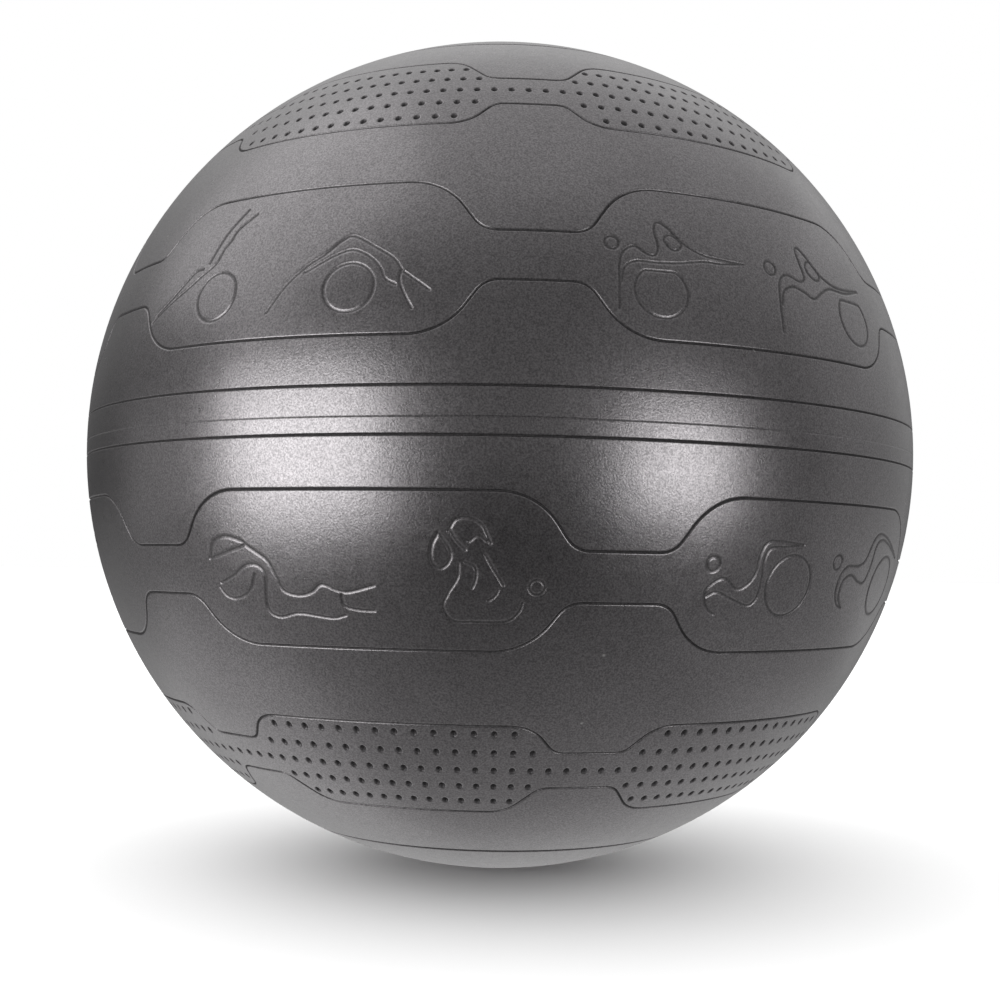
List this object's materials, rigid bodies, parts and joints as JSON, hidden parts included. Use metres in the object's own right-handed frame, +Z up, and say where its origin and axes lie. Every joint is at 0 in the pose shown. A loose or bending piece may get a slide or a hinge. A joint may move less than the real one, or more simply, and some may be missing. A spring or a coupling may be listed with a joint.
{
  "type": "exercise ball",
  "caption": "Inflated exercise ball with a thin soft PVC shell, dimpled grip bands, engraved figure panels and a pull-out air plug in its valve seat.",
  "frame": {"origin": "middle of the flat patch that the ball stands on, at floor height", "axes": "+Z up through the two poles of the ball, out of the valve; -Y is the front, where the middle of a narrow neck of the upper bands faces"},
  "size_m": [0.65, 0.65, 0.6494],
  "materials": {
    "shell_pvc": "satin, finely grained soft PVC, charcoal grey",
    "seat_vinyl": "satin soft vinyl, slightly darker than the shell",
    "plug_plastic": "semi-matte moulded polyethylene, off-white"
  },
  "bodies": {
    "ball": {"ball_shell": "shell_pvc", "valve_seat": "seat_vinyl"},
    "plug": {"valve_plug": "plug_plastic"}
  },
  "joints": [
    {"name": "plug_pull", "type": "slide", "parent": "ball", "child": "plug", "axis": [0, 0, 1], "range_m": [0, 0.03]}
  ]
}
